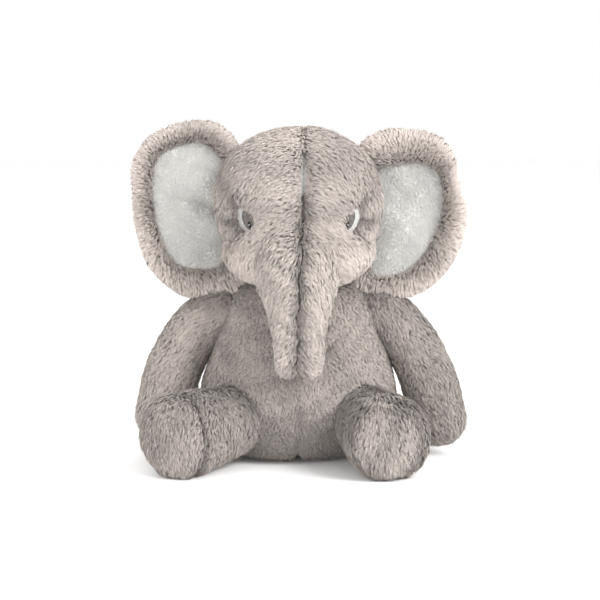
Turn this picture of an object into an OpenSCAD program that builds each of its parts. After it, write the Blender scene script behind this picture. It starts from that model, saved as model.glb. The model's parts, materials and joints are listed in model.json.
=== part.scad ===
// Stuffed elephant, seated. Millimetres, +Z up, the face looks towards -Y and the seat rests on Z = 0.
// Left and right are the elephant's own, so its left side is +X.
// The solids follow the backing of the plush. The pile stands a few millimetres proud of them.

/* [Body] */
// width of the belly at its widest
belly_w = 156; // [152:1:158]
// depth of the belly from front to back
belly_d = 124; // [120:1:128]
// height of the top of the shoulders
torso_h = 139; // [137:1:140]

/* [Head] */
// width of the head
head_w = 130; // [127:1:132]
// depth of the head from front to back
head_d = 118; // [116:1:120]
// height of the head itself
head_h = 122; // [119:1:123]
// height of the top of the head
top_z = 267; // [265:1:270]

/* [Trunk] */
// radius of the trunk where it leaves the face
trunk_root_r = 26; // [25:0.5:26.5]
// radius of the trunk at its middle
trunk_mid_r = 19; // [17.5:0.5:19.5]
// radius of the rounded tip
trunk_tip_r = 11.5; // [10.5:0.5:12.5]

/* [Ears] */
// width of each ear from its inner edge to its outer edge
ear_w = 61; // [58:1:63]
// height of each ear
ear_h = 128; // [122:1:129]
// thickness of the padded ear
ear_t = 12; // [11:0.5:13]
// width of the furred rim round the pale lining
ear_rim_w = 12; // [10:1:14]

/* [Arms] */
// radius of the arm beside the shoulder
arm_root_r = 17; // [16:0.5:17.5]
// radius of the arm at its rounded end
arm_end_r = 19.5; // [18.5:0.5:20]
// height of the middle of the arm's rounded end
arm_end_z = 29; // [28:1:33]

/* [Legs] */
// radius of the leg at the hip
leg_root_r = 25; // [24:0.5:26]
// radius of the foot
foot_r = 31; // [30:0.5:32]
// length from the hip to the sole seam
leg_len = 68; // [66:1:70]
// angle of the left leg outwards from straight ahead
left_leg_splay = 15; // [13:1:18]
// angle of the right leg outwards from straight ahead
right_leg_splay = 36; // [33:1:37]

/* [Fabric] */
// thickness of the plush backing and its lining
cover_t = 2.5; // [2:0.1:3]

/* [Hidden] */
gap = 0.3;              // between a cover and its stuffing
play = 1.5;             // between two bodies that turn against each other
torso_sides = 28;       // points round the torso and the head
limb_sides = 20;        // points round a limb
arc_steps = [78, 52, 26];

taupe = [0.72, 0.67, 0.63];
taupe_shade = [0.62, 0.57, 0.53];
lining_grey = [0.80, 0.79, 0.76];
felt_white = [0.86, 0.86, 0.84];
iris_brown = [0.45, 0.40, 0.37];
pupil_black = [0.03, 0.03, 0.03];
fibre_white = [0.93, 0.92, 0.90];
bean_tan = [0.70, 0.62, 0.50];
label_white = [0.95, 0.95, 0.94];

belly_z = 56;           // height of the belly's widest level
belly_hz = 62;          // half height of the belly's round, which the floor cuts flat
shoulder_w = 126;       // width of the shoulders
shoulder_d = 92;        // depth of the shoulders
shoulder_hz = 27;       // half height of the shoulders' round
shoulder_z = torso_h - shoulder_hz;

head_y = -7;
head_z = top_z - head_h / 2;
head_centre = [0, head_y, head_z];

nod_pivot = [0, -3, 156];
neck_r = 16;
neck_foot_z = 118;
neck_foot_chamfer = 3;
neck_flare = 4;         // how much wider the torso's neck hole is at its mouth
nod_ball_r = 18;        // the neck's rounded top, which the head nods on
nod_space_r = 24;       // room under the head for the shoulders
nod_space_drop = 40;    // how far down that room reaches

trunk_root = [0, head_y - 44, 172];
trunk_mid = [0, head_y - 72, 123];
trunk_tip = [0, head_y - 76, 79 + trunk_tip_r];
trunk_ball_r = trunk_mid_r - 0.5;
trunk_split = 6;        // the upper trunk ends this far above the middle joint
trunk_lift = 60;        // how far the trunk lifts from the face
trunk_curl = 60;        // how far its lower half curls up
trunk_play = play + 0.5;

ear_pivot = [head_w / 2 - 1.5, head_y + 7, 205];
ear_bead_r = 4.5;       // the rolled edge that is sewn into the head
ear_bead_len = 56;
ear_start = 5.5;        // from the hinge line to the padded plate
ear_bottom_z = 139;
ear_skin_t = 2;
ear_lining_t = 1.6;
ear_tab_t = 4;
ear_tab_overlap = 6;    // the tab reaches this far past the hinge gap into the plate
ear_sides = 28;         // points round the ear's outline
ear_narrowing = 0.16;   // how much narrower the ear is at its bottom
ear_squareness = 0.85;  // 1 is an oval, less is squarer
lining_drop = 0.2;      // the lining lies this far below the rim's face

shoulder_pivot = [60, 3, 119];
shoulder_ball_r = 17.5;
arm_bend = [101, 3, 106];
arm_end = [111, -5, arm_end_z];
arm_start = 12;          // the arm's own cloth begins this far from the shoulder's middle
arm_mouth = [-5, 22];    // the torso's armhole runs between these distances from the shoulder's middle
arm_mouth_r = 30;        // radius of the armhole where it opens

hip_pivot = [52, -41, 36];
hip_ball_r = leg_root_r - 2.5;
leg_start = 14;          // the leg's own cloth begins this far from the hip's middle
leg_mouth = [-8, 24];    // the torso's leg hole runs between these distances from the hip's middle
leg_mouth_r = 46;        // radius of the leg hole where it opens
foot_z = foot_r - 1;    // the floor presses the foot 1 mm flat
sole_bulge = 8;

tail_root = [0, 60, 38];
tail_bend = [0, 78, 38];
tail_end = [0, 84, 20];
tail_r = 4;
tail_play = play + 0.5;
tail_sides = 12;
tuft_r = 6.5;

pouch_half = [28, 20, 21];
pouch_middle = [0, 6, 6];

label_size = [0.8, 22, 16];
label_corner = [30, 40, 18];

eye_x = 43;
eye_z = 199;
eye_lean = 14;          // the eyes' tops lean outwards
felt_size = [14, 18, 2.4];
iris_size = [8.5, 13, 0.9];
iris_shift = [0.8, -0.8];
pupil_size = [3.2, 5.6, 1.3];
pupil_shift = [1.6, -2.2];
pupil_crown = 0.6;
felt_sunk = 1;
eye_sides = 16;

world = 400;            // side of the blocks that cut the toy into halves
below = 10;             // how far those blocks start below the floor

// ---------- forms ----------

function unit(v) = v / norm(v);
function mix(a, b, s) = a + (b - a) * s;

// A flat ring of points round a centre, in the plane of two unit vectors.
function ring(centre, u, v, ru, rv, sides) =
  [for (i = [0 : sides - 1])
    let (a = (i + 0.5) * 360 / sides)
    centre + u * ru * cos(a) + v * rv * sin(a)];

// One closed skin through rings of equally many points.
module loft(rings) {
  m = len(rings[0]);
  last = (len(rings) - 1) * m;
  sides = [for (k = [0 : len(rings) - 2], i = [0 : m - 1])
    let (a = k * m + i, b = k * m + (i + 1) % m)
    each [[a, a + m, b + m], [a, b + m, b]]];
  polyhedron(
    points = [for (r = rings) each r],
    faces = concat(
      [[for (i = [0 : m - 1]) i]],
      sides,
      [[for (i = [m - 1 : -1 : 0]) last + i]]
    )
  );
}

// Rings of an upright round: half sizes, centre and the angles of the rings above and below its middle.
function round_rings(centre, half, angles, sides) =
  [for (p = angles)
    ring(centre + [0, 0, half.z * sin(p)], [1, 0, 0], [0, 1, 0],
         half.x * cos(p), half.y * cos(p), sides)];

module ellipsoid(centre, half, sides = torso_sides) {
  loft(round_rings(centre, half, [-84 : 24 : 84], sides));
}

// The torso: a belly that the floor cuts flat, and narrower shoulders.
module torso_form(inset = 0) {
  belly = [belly_w / 2, belly_d / 2, belly_hz] - inset * [1, 1, 1];
  shoulders = [shoulder_w / 2, shoulder_d / 2, shoulder_hz] - inset * [1, 1, 1];
  floor_angle = -asin((belly_z - inset) / belly.z);
  loft(concat(
    round_rings([0, 0, belly_z], belly, [for (i = [0 : 4]) mix(floor_angle, 10, i / 4)], torso_sides),
    round_rings([0, 0, shoulder_z], shoulders, [6, 32, 58, 82], torso_sides)
  ));
}

module head_form(inset = 0) {
  ellipsoid(head_centre, [head_w, head_d, head_h] / 2 - inset * [1, 1, 1]);
}

function curve(a, b, c, s) = mix(mix(a, b, s), mix(b, c, s), s);
function curve_dir(a, b, c, s) = unit(mix(b - a, c - b, s));

// A bent limb from a to c, pulled towards b. side is square to the plane it bends in.
module limb(a, b, c, ra, rc, side, bulge = 0, inset = 0, sides = limb_sides) {
  r0 = ra - inset;
  r1 = rc - inset;
  h1 = (bulge > 0 ? bulge : rc) - inset;
  d0 = curve_dir(a, b, c, 0);
  d1 = curve_dir(a, b, c, 1);
  steps = 5;
  loft(concat(
    [for (p = arc_steps) ring(a - d0 * r0 * sin(p), side, cross(d0, side), r0 * cos(p), r0 * cos(p), sides)],
    [for (i = [0 : steps])
      let (s = i / steps, d = curve_dir(a, b, c, s), r = mix(r0, r1, s))
      ring(curve(a, b, c, s), side, cross(d, side), r, r, sides)],
    [for (k = [2 : -1 : 0])
      let (p = arc_steps[k])
      ring(c + d1 * h1 * sin(p), side, cross(d1, side), r1 * cos(p), r1 * cos(p), sides)]
  ));
}

module ball(centre, r, sides = limb_sides) {
  ellipsoid(centre, [r, r, r], sides);
}

// A funnel round a sewn root, so that the limb can swing without cutting the cover.
// span holds the distances of its narrow and its wide end from the pivot.
module funnel(pivot, direction, span, r_narrow, r_wide) {
  side = unit(cross(direction, [0, 0, 1]));
  up = cross(side, direction);
  loft([
    ring(pivot + direction * span[0], up, side, r_narrow, r_narrow, limb_sides),
    ring(pivot + direction * span[1], up, side, r_wide, r_wide, limb_sides)
  ]);
}

// The half space beyond a point, as a block that covers the whole toy.
module beyond(point, direction) {
  side = unit(cross(direction, [0.1, 0.2, 1]));
  up = cross(side, direction);
  loft([
    ring(point, up, side, world, world, 4),
    ring(point + direction * world, up, side, world, world, 4)
  ]);
}

module above(z) {
  translate([-world / 2, -world / 2, z]) cube(world);
}

module left_half() {
  translate([0, -world / 2, -below]) cube(world);
}

module right_half() {
  translate([-world, -world / 2, -below]) cube(world);
}

module behind(y) {
  translate([-world / 2, y, -below]) cube(world);
}

module in_front(y) {
  translate([-world / 2, y - world, -below]) cube(world);
}

// Turns what it holds about an axis through a point.
module turned(pivot, angle, axis) {
  translate(pivot) rotate(a = angle, v = axis) translate(-pivot) children();
}

// Puts what it holds on the elephant's left (1) or right (-1).
module on_side(s) {
  if (s > 0) {
    children();
  } else {
    mirror([1, 0, 0]) children();
  }
}

// ---------- torso ----------

module torso_sockets(grow = 0) {
  loft([
    ring([0, nod_pivot.y, neck_foot_z - play], [1, 0, 0], [0, 1, 0],
         neck_r + play + grow, neck_r + play + grow, limb_sides),
    ring([0, nod_pivot.y, torso_h + 5], [1, 0, 0], [0, 1, 0],
         neck_r + neck_flare + grow, neck_r + neck_flare + grow, limb_sides)
  ]);
  for (s = [1, -1]) {
    on_side(s) {
      ball(shoulder_pivot, shoulder_ball_r + play + grow);
      funnel(shoulder_pivot, [1, 0, 0], arm_mouth, shoulder_ball_r + play, arm_mouth_r);
      ball(hip_pivot, hip_ball_r + play + grow);
      funnel(hip_pivot, leg_direction(s), leg_mouth, hip_ball_r + play + 1, leg_mouth_r);
    }
  }
  ball(tail_root, tail_r + tail_play + grow, tail_sides);
}

module torso_shell() {
  difference() {
    intersection() {
      torso_form();
      above(cover_t);
    }
    torso_form(cover_t);
    torso_sockets();
  }
}

module belly_panel(s) {
  color(taupe) intersection() {
    torso_shell();
    in_front(0);
    if (s > 0) left_half(); else right_half();
  }
}

module back_panel(s) {
  color(taupe) intersection() {
    torso_shell();
    behind(0);
    if (s > 0) left_half(); else right_half();
  }
}

module seat_panel() {
  color(taupe_shade) difference() {
    torso_form();
    above(cover_t);
    torso_sockets();
  }
}

module pouch_form(inset = 0) {
  loft(round_rings(pouch_middle, pouch_half - inset * [1, 1, 1], [-6, 22, 50, 80], limb_sides));
}

module torso_stuffing() {
  color(fibre_white) difference() {
    torso_form(cover_t + gap);
    pouch_form(-gap);
    torso_sockets(gap);
  }
}

module bean_pouch() {
  color(bean_tan) pouch_form();
}

module care_label() {
  color(label_white) difference() {
    translate(label_corner) cube(label_size);
    torso_form(-gap);
  }
}

// ---------- neck ----------

module neck_plug() {
  color(taupe_shade) loft(concat(
    [ring([0, nod_pivot.y, neck_foot_z], [1, 0, 0], [0, 1, 0],
          neck_r - neck_foot_chamfer, neck_r - neck_foot_chamfer, limb_sides),
     ring([0, nod_pivot.y, neck_foot_z + neck_foot_chamfer], [1, 0, 0], [0, 1, 0], neck_r, neck_r, limb_sides)],
    round_rings(nod_pivot, nod_ball_r * [1, 1, 1], [-24, 0, 28, 56, 82], limb_sides)
  ));
}

// ---------- head ----------

module trunk_upper_form(inset = 0) {
  limb(trunk_root, mix(trunk_root, trunk_mid, 0.5) + [0, -4, -4], trunk_mid,
       trunk_root_r, trunk_mid_r + 2, [1, 0, 0], inset = inset);
}

module head_sockets(grow = 0) {
  ball(nod_pivot, nod_ball_r + play + grow);
  loft([
    ring(nod_pivot - [0, 0, nod_space_drop], [1, 0, 0], [0, 1, 0],
         neck_r + nod_space_r, neck_r + nod_space_r, limb_sides),
    ring(nod_pivot, [1, 0, 0], [0, 1, 0], neck_r + 3 + grow, neck_r + 3 + grow, limb_sides)
  ]);
  for (angle = [0 : 20 : trunk_lift]) {
    turned(trunk_root, angle, [-1, 0, 0]) trunk_upper_form(-trunk_play - grow);
  }
  for (s = [1, -1]) {
    on_side(s) {
      translate(ear_pivot - [0, 0, ear_bead_len / 2 + play])
        cylinder(r = ear_bead_r + play + 0.5 + grow, h = ear_bead_len + 2 * play, $fn = 12);
    }
  }
}

module head_shell() {
  difference() {
    head_form();
    head_form(cover_t);
    head_sockets();
    for (s = [1, -1]) {
      at_eye(s) oval(felt_size + [2 * gap, 2 * gap, 0], -felt_sunk - 0.1);
    }
  }
}

module face_panel(s) {
  color(taupe) intersection() {
    head_shell();
    in_front(head_y + 8);
    if (s > 0) left_half(); else right_half();
  }
}

module crown_panel() {
  color(taupe) intersection() {
    head_shell();
    behind(head_y + 8);
  }
}

module head_stuffing() {
  color(fibre_white) difference() {
    head_form(cover_t + gap);
    head_sockets(gap);
  }
}

// ---------- eyes ----------

// The eye's frame: its origin on the face, its third axis straight out of the face.
module at_eye(s) {
  half = [head_w, head_d, head_h] / 2;
  away = [eye_x, 0, eye_z - head_z];
  depth = half.y * sqrt(1 - pow(away.x / half.x, 2) - pow(away.z / half.z, 2));
  spot = [away.x, -depth, away.z];
  normal = unit([spot.x / pow(half.x, 2), spot.y / pow(half.y, 2), spot.z / pow(half.z, 2)]);
  on_side(s)
    translate(head_centre + spot)
      rotate([0, 0, atan2(normal.y, normal.x)])
        rotate([0, acos(normal.z), 0])
          rotate([0, 0, 90 + eye_lean])
            children();
}

// An upright oval plate, from a height above the face.
module oval(size, low, crown = 0) {
  loft(concat(
    [ring([0, 0, low], [1, 0, 0], [0, 1, 0], size.x / 2, size.y / 2, eye_sides),
     ring([0, 0, low + size.z - crown], [1, 0, 0], [0, 1, 0], size.x / 2, size.y / 2, eye_sides)],
    crown > 0
      ? [ring([0, 0, low + size.z], [1, 0, 0], [0, 1, 0], size.x / 4, size.y / 4, eye_sides)]
      : []
  ));
}

module eye_felt(s) {
  color(felt_white) at_eye(s) oval(felt_size, -felt_sunk);
}

module eye_iris(s) {
  color(iris_brown) at_eye(s) translate(iris_shift) oval(iris_size, felt_size.z - felt_sunk);
}

module eye_pupil(s) {
  color(pupil_black) at_eye(s)
    translate(pupil_shift) oval(pupil_size, felt_size.z + iris_size.z - felt_sunk, pupil_crown);
}

// ---------- trunk ----------

trunk_dir = unit(trunk_mid - trunk_root);

module trunk_lower_form(inset = 0) {
  limb(trunk_mid, mix(trunk_mid, trunk_tip, 0.5) + [0, -2, 0], trunk_tip,
       trunk_mid_r, trunk_tip_r, [1, 0, 0], inset = inset);
}

module trunk_upper_end() {
  beyond(trunk_mid - trunk_dir * trunk_split, trunk_dir);
  ball(trunk_mid, trunk_ball_r + play);
  for (angle = [15 : 15 : trunk_curl]) {
    turned(trunk_mid, angle, [-1, 0, 0]) trunk_lower_form(-play);
  }
}

module trunk_upper_cover() {
  color(taupe) difference() {
    trunk_upper_form();
    difference() {
      trunk_upper_form(cover_t);
      ball(trunk_root - trunk_dir * trunk_root_r, cover_t);
    }
    trunk_upper_end();
  }
}

module trunk_upper_stuffing() {
  color(fibre_white) difference() {
    trunk_upper_form(cover_t + gap);
    trunk_upper_end();
  }
}

module trunk_lower_cover() {
  color(taupe) difference() {
    trunk_lower_form();
    trunk_lower_form(cover_t);
    root_mouth(trunk_mid, trunk_dir, trunk_mid_r);
  }
}

module trunk_lower_stuffing() {
  color(fibre_white) trunk_lower_form(cover_t + gap);
}

// The gathered hole that every stuffed tube has at its root, where the stuffing goes in.
module root_mouth(pivot, direction, r) {
  funnel(pivot - direction * r, direction, [-r / 2, r / 2], r / 3, r / 3);
}

// ---------- ears ----------

// The ear's outline seen from the front, square-shouldered above and narrower below.
function ear_outline(inset) =
  let (half_w = ear_w / 2, half_h = ear_h / 2,
       middle = [ear_pivot.x + ear_start + half_w, ear_bottom_z + half_h])
  [for (i = [0 : ear_sides - 1])
    let (a = i * 360 / ear_sides,
         narrow = sin(a) < 0 ? 1 + ear_narrowing * sin(a) : 1,
         x = sign(cos(a)) * pow(abs(cos(a)), ear_squareness) * (half_w - inset) * narrow,
         z = sign(sin(a)) * pow(abs(sin(a)), ear_squareness) * (half_h - inset))
    middle + [x, z]];

// A plate of the ear's outline between two depths, measured from the ear's back face to its front.
module ear_plate(inset, from, to) {
  translate([0, ear_pivot.y + ear_t / 2 - from, 0])
    rotate([90, 0, 0])
      linear_extrude(height = to - from) polygon(ear_outline(inset));
}

module ear_back(s) {
  color(taupe) on_side(s) {
    difference() {
      union() {
        ear_plate(0, 0, ear_t - ear_skin_t);
        translate(ear_pivot - [0, 0, ear_bead_len / 2]) cylinder(r = ear_bead_r, h = ear_bead_len, $fn = 24);
        translate(ear_pivot - [0, ear_tab_t / 2, ear_bead_len / 2])
          cube([ear_start + ear_tab_overlap, ear_tab_t, ear_bead_len]);
      }
      ear_plate(ear_skin_t, ear_skin_t, ear_t);
    }
  }
}

module ear_rim(s) {
  color(taupe) on_side(s) difference() {
    ear_plate(0, ear_t - ear_skin_t, ear_t);
    ear_plate(ear_rim_w, ear_skin_t, ear_t + 1);
  }
}

module ear_lining(s) {
  color(lining_grey) on_side(s)
    ear_plate(ear_rim_w + gap, ear_t - ear_lining_t - lining_drop, ear_t - lining_drop);
}

module ear_padding(s) {
  color(fibre_white) on_side(s)
    ear_plate(ear_skin_t + gap, ear_skin_t + gap, ear_t - ear_skin_t - gap);
}

// ---------- arms ----------

module arm_form(inset = 0) {
  limb(shoulder_pivot, arm_bend, arm_end, arm_root_r, arm_end_r,
       unit(cross(arm_end - shoulder_pivot, arm_bend - shoulder_pivot)), inset = inset);
}

module arm_root_cut() {
  ball(shoulder_pivot, shoulder_ball_r + play);
  beyond(shoulder_pivot + [arm_start, 0, 0], [-1, 0, 0]);
}

module arm_shell() {
  difference() {
    arm_form();
    arm_form(cover_t);
    arm_root_cut();
  }
}

arm_seam = unit(cross(arm_end - shoulder_pivot, arm_bend - shoulder_pivot));

module arm_front_panel(s) {
  color(taupe) on_side(s) intersection() {
    arm_shell();
    beyond(shoulder_pivot, arm_seam.y < 0 ? arm_seam : -arm_seam);
  }
}

module arm_back_panel(s) {
  color(taupe) on_side(s) intersection() {
    arm_shell();
    beyond(shoulder_pivot, arm_seam.y < 0 ? -arm_seam : arm_seam);
  }
}

module arm_stuffing(s) {
  color(fibre_white) on_side(s) difference() {
    arm_form(cover_t + gap);
    arm_root_cut();
  }
}

module shoulder_root(s) {
  color(taupe_shade) on_side(s) ball(shoulder_pivot, shoulder_ball_r);
}

// ---------- legs ----------

function leg_direction(s) =
  let (splay = s > 0 ? left_leg_splay : right_leg_splay)
  [sin(splay), -cos(splay), 0];

function sole_centre(s) =
  let (reach = hip_pivot + leg_direction(s) * leg_len)
  [reach.x, reach.y, foot_z];

module leg_form(s, inset = 0) {
  direction = leg_direction(s);
  side = unit(cross(direction, [0, 0, 1]));
  foot = sole_centre(s);
  intersection() {
    limb(hip_pivot, hip_pivot + direction * leg_len * 0.5 + [0, 0, foot_z - hip_pivot.z], foot,
         leg_root_r, foot_r, side, bulge = sole_bulge, inset = inset);
    above(inset);
  }
}

module leg_root_cut(s) {
  ball(hip_pivot, hip_ball_r + play);
  beyond(hip_pivot + leg_direction(s) * leg_start, -leg_direction(s));
}

module leg_cover(s) {
  color(taupe) on_side(s) difference() {
    leg_form(s);
    leg_form(s, cover_t);
    leg_root_cut(s);
    beyond(sole_centre(s), leg_direction(s));
  }
}

module sole_panel(s) {
  color(taupe) on_side(s) difference() {
    intersection() {
      leg_form(s);
      beyond(sole_centre(s), leg_direction(s));
    }
    leg_form(s, cover_t);
  }
}

module leg_stuffing(s) {
  color(fibre_white) on_side(s) difference() {
    leg_form(s, cover_t + gap);
    leg_root_cut(s);
  }
}

module hip_root(s) {
  color(taupe_shade) on_side(s) ball(hip_pivot, hip_ball_r);
}

// ---------- tail ----------

module tail_cover() {
  color(taupe) difference() {
    limb(tail_root, tail_bend, tail_end, tail_r, tail_r, [1, 0, 0], sides = tail_sides);
    ball(tail_end, tuft_r + gap, tail_sides);
  }
}

module tail_tuft() {
  color(taupe_shade) ball(tail_end, tuft_r, tail_sides);
}

// ---------- nodes ----------

belly_panel(1);  // belly_panel_left
belly_panel(-1);  // belly_panel_right
back_panel(1);  // back_panel_left
back_panel(-1);  // back_panel_right
seat_panel();
torso_stuffing();
bean_pouch();
care_label();
neck_plug();
face_panel(1);  // face_panel_left
face_panel(-1);  // face_panel_right
crown_panel();
head_stuffing();
eye_felt(1);  // eye_felt_left
eye_felt(-1);  // eye_felt_right
eye_iris(1);  // eye_iris_left
eye_iris(-1);  // eye_iris_right
eye_pupil(1);  // eye_pupil_left
eye_pupil(-1);  // eye_pupil_right
trunk_upper_cover();
trunk_upper_stuffing();
trunk_lower_cover();
trunk_lower_stuffing();
ear_back(1);  // ear_back_left
ear_rim(1);  // ear_rim_left
ear_lining(1);  // ear_lining_left
ear_padding(1);  // ear_padding_left
ear_back(-1);  // ear_back_right
ear_rim(-1);  // ear_rim_right
ear_lining(-1);  // ear_lining_right
ear_padding(-1);  // ear_padding_right
shoulder_root(1);  // shoulder_root_left
arm_front_panel(1);  // arm_front_panel_left
arm_back_panel(1);  // arm_back_panel_left
arm_stuffing(1);  // arm_stuffing_left
shoulder_root(-1);  // shoulder_root_right
arm_front_panel(-1);  // arm_front_panel_right
arm_back_panel(-1);  // arm_back_panel_right
arm_stuffing(-1);  // arm_stuffing_right
hip_root(1);  // hip_root_left
leg_cover(1);  // leg_cover_left
sole_panel(1);  // sole_panel_left
leg_stuffing(1);  // leg_stuffing_left
hip_root(-1);  // hip_root_right
leg_cover(-1);  // leg_cover_right
sole_panel(-1);  // sole_panel_right
leg_stuffing(-1);  // leg_stuffing_right
tail_cover();
tail_tuft();
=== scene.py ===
"""Stuffed elephant in short silky plush, dressed round the CAD frame. Metres, the face looks towards -Y."""
import json
import math

import bpy
import numpy as np
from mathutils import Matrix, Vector


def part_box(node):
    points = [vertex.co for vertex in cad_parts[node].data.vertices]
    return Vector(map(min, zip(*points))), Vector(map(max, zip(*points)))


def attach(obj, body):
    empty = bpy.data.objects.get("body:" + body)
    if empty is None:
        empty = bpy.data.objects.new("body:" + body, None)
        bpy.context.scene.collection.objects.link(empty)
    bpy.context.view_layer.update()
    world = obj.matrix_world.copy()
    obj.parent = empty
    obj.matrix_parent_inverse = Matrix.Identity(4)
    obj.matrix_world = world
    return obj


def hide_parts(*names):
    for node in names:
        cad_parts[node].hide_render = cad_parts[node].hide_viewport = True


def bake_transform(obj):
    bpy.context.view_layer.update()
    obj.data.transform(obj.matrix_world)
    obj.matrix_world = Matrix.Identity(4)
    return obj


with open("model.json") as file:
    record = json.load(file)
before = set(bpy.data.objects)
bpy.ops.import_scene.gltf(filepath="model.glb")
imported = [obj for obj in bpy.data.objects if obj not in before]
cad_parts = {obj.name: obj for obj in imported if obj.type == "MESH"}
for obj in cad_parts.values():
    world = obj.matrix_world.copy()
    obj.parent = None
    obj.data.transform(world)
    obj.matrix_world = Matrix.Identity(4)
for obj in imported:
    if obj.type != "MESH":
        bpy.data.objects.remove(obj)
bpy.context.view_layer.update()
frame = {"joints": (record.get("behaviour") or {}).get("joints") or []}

MM = 0.001
SEED = 7
SIDES = (("left", 1), ("right", -1))
ACROSS = np.array([1.0, 0.0, 0.0])
BACK = np.array([0.0, 1.0, 0.0])
UP = np.array([0.0, 0.0, 1.0])

# ---------- places, read from the frame ----------


def mm(*values):
    return np.array(values, float) * MM


def joint_named(name):
    return next(j for j in frame["joints"] if j["name"] == name)


def joint_at(name):
    return np.array(joint_named(name)["pos_m"], float)


def boxes(*nodes):
    corners = np.array([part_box(n) for n in nodes], float)
    return corners[:, 0].min(0), corners[:, 1].max(0)


TORSO_NODES = ["belly_panel_left", "belly_panel_right", "back_panel_left", "back_panel_right",
               "seat_panel", "torso_stuffing", "bean_pouch"]
HEAD_NODES = ["face_panel_left", "face_panel_right", "crown_panel", "head_stuffing"]

_, torso_high = boxes(*TORSO_NODES)
head_low, head_high = boxes(*HEAD_NODES)
head_mid = (head_low + head_high) / 2
head_half = (head_high - head_low) / 2
trunk_root = joint_at("trunk_lift")
trunk_mid = joint_at("trunk_curl")
trunk_low, _ = boxes("trunk_lower_cover")
trunk_tip = np.array([0, trunk_mid[1] - 4 * MM, trunk_low[2]])
tail_root = joint_at("tail_swing")
tuft_low, tuft_high = boxes("tail_tuft")
tuft_mid = (tuft_low + tuft_high) / 2


# ---------- small vector helpers ----------


def unit(v):
    v = np.asarray(v, float)
    return v / np.maximum(np.linalg.norm(v, axis=-1, keepdims=True), 1e-12)


def along(a, b, s):
    return np.asarray(a) + (np.asarray(b) - np.asarray(a)) * s


def smoothstep(low, high, x):
    t = np.clip((x - low) / (high - low), 0, 1)
    return t * t * (3 - 2 * t)


def bump(distance, width):
    """1 on a line, falling smoothly to nothing a few widths away."""
    return np.exp(-((distance / width) ** 2))


def swirl(points, scale, seed):
    """A smooth vector field that wanders over the given distance."""
    rng = np.random.default_rng(seed)
    total = np.zeros_like(points)
    for _ in range(5):
        wave = rng.normal(size=3) / scale
        total += np.sin(points @ wave + rng.uniform(0, 2 * math.pi))[:, None] * rng.normal(size=3)
    return total / 3


def closed_curve(corners, count):
    """A smooth closed outline through a few corners, as count evenly spread points."""
    corners = np.array(corners, float)
    spans = len(corners)
    t = np.linspace(0, spans, count * 8, endpoint=False)
    k = t.astype(int)
    f = (t - k)[:, None]
    a, b, c, d = (corners[(k + shift) % spans] for shift in (-1, 0, 1, 2))
    dense = (2 * b + (c - a) * f + (2 * a - 5 * b + 4 * c - d) * f**2 + (3 * b - a - 3 * c + d) * f**3) / 2
    step = np.linalg.norm(np.roll(dense, -1, 0) - dense, axis=1)
    walked = np.concatenate([[0], np.cumsum(step)])
    even = np.linspace(0, walked[-1], count, endpoint=False)
    looped = np.vstack([dense, dense[:1]])
    return np.stack([np.interp(even, walked, looped[:, axis]) for axis in (0, 1)], 1)


# ---------- materials ----------


def shader(name, colour, roughness=0.85, sheen=0.0):
    """A new material and its shader node."""
    material = bpy.data.materials.new(name)
    material.use_nodes = True
    principled = material.node_tree.nodes["Principled BSDF"]
    principled.inputs["Base Color"].default_value = (*colour, 1)
    principled.inputs["Roughness"].default_value = roughness
    principled.inputs["Sheen Weight"].default_value = sheen
    principled.inputs["Sheen Roughness"].default_value = 0.5
    return material, principled


def add_noise_bump(material, principled, scale, strength, distance):
    """Fine relief on the surface, as fibres or weave leave."""
    nodes, links = material.node_tree.nodes, material.node_tree.links
    place = nodes.new("ShaderNodeTexCoord")
    noise = nodes.new("ShaderNodeTexNoise")
    noise.inputs["Scale"].default_value = scale
    noise.inputs["Detail"].default_value = 6
    relief = nodes.new("ShaderNodeBump")
    relief.inputs["Strength"].default_value = strength
    relief.inputs["Distance"].default_value = distance
    links.new(place.outputs["Object"], noise.inputs["Vector"])
    links.new(noise.outputs["Fac"], relief.inputs["Height"])
    links.new(relief.outputs["Normal"], principled.inputs["Normal"])


def add_mottle(material, principled, dark, light, scale):
    """Colour that wanders between two shades."""
    nodes, links = material.node_tree.nodes, material.node_tree.links
    place = nodes.new("ShaderNodeTexCoord")
    noise = nodes.new("ShaderNodeTexNoise")
    noise.inputs["Scale"].default_value = scale
    noise.inputs["Detail"].default_value = 8
    ramp = nodes.new("ShaderNodeValToRGB")
    ramp.color_ramp.elements[0].position = 0.3
    ramp.color_ramp.elements[0].color = (*dark, 1)
    ramp.color_ramp.elements[1].position = 0.7
    ramp.color_ramp.elements[1].color = (*light, 1)
    links.new(place.outputs["Object"], noise.inputs["Vector"])
    links.new(noise.outputs["Fac"], ramp.inputs["Fac"])
    links.new(ramp.outputs["Color"], principled.inputs["Base Color"])


def woven(name, dark, light, mottle_scale, bump_scale, roughness=0.9, sheen=0.2):
    """Cloth in two shades with a fine relief."""
    material, principled = shader(name, light, roughness, sheen)
    add_mottle(material, principled, dark, light, mottle_scale)
    add_noise_bump(material, principled, bump_scale, 0.5, 0.6 * MM)
    return material


def fibre(name, colour):
    """One shade of pile."""
    material, principled = shader(name, colour, 0.7, 0.15)
    add_noise_bump(material, principled, 900, 0.2, 0.2 * MM)
    return material


# The colours of the plush and of the ears' lining. Tones are shares of them, darkest first.
TAUPE = np.array([0.505, 0.447, 0.412])
PALE = np.array([0.605, 0.597, 0.572])


def tones(name, colour, levels):
    return [fibre(f"{name}_{i}", colour * level) for i, level in enumerate(levels)]


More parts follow.
